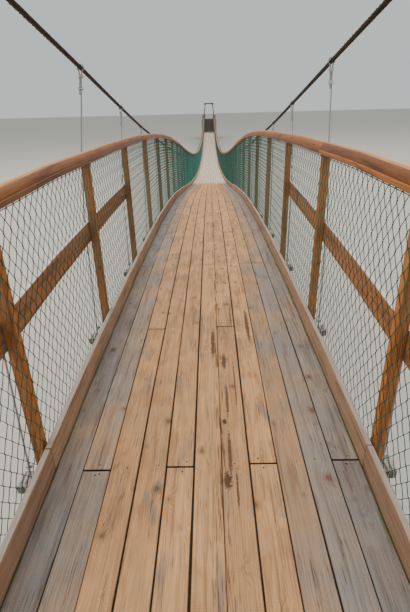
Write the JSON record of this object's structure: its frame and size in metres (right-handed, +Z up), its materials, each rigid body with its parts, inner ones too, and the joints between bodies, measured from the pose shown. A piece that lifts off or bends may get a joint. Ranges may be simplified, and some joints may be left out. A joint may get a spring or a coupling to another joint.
{
  "type": "1:10 scale model of a suspension footbridge",
  "caption": "Timber suspension footbridge on steel wire ropes, with plank deck, posts, rounded handrails, wire netting, portal towers and concrete abutments, at one tenth scale.",
  "frame": {"origin": "at mid-span, on the level floor that both abutments stand on", "axes": "+Y along the deck towards the far bank, +X across it to the walker's right, +Z up"},
  "size_m": [0.27, 10.24, 0.62],
  "materials": {
    "deck_boards": "weathered, uncoated",
    "kerb_boards": "weathered, uncoated",
    "stained_timber": "oiled, sun-bleached on top",
    "coated_net": "plastic coat on wire",
    "wire_rope": "dull, rusty",
    "painted_steel": "matt paint",
    "concrete": "cast, rough"
  },
  "bodies": {
    "root": {"deck_section_1": "deck_boards", "deck_section_2": "deck_boards", "deck_section_3": "deck_boards", "deck_section_4": "deck_boards", "deck_section_5": "deck_boards", "deck_section_6": "deck_boards", "deck_section_7": "deck_boards", "deck_section_8": "deck_boards", "balustrade_left_1": "stained_timber", "balustrade_left_2": "stained_timber", "balustrade_left_3": "stained_timber", "balustrade_left_4": "stained_timber", "balustrade_left_5": "stained_timber", "balustrade_left_6": "stained_timber", "balustrade_left_7": "stained_timber", "balustrade_left_8": "stained_timber", "balustrade_right_1": "stained_timber", "balustrade_right_2": "stained_timber", "balustrade_right_3": "stained_timber", "balustrade_right_4": "stained_timber", "balustrade_right_5": "stained_timber", "balustrade_right_6": "stained_timber", "balustrade_right_7": "stained_timber", "balustrade_right_8": "stained_timber", "kerb_left": "kerb_boards", "net_left": "coated_net", "main_cable_left": "wire_rope", "kerb_right": "kerb_boards", "net_right": "coated_net", "main_cable_right": "wire_rope", "abutment_near": "concrete", "portal_beam_near": "painted_steel", "tower_leg_near_left": "painted_steel", "saddle_near_left": "painted_steel", "cable_anchor_near_left": "painted_steel", "tower_leg_near_right": "painted_steel", "saddle_near_right": "painted_steel", "cable_anchor_near_right": "painted_steel", "abutment_far": "concrete", "portal_beam_far": "painted_steel", "tower_leg_far_left": "painted_steel", "saddle_far_left": "painted_steel", "cable_anchor_far_left": "painted_steel", "tower_leg_far_right": "painted_steel", "saddle_far_right": "painted_steel", "cable_anchor_far_right": "painted_steel"}
  },
  "joints": []
}
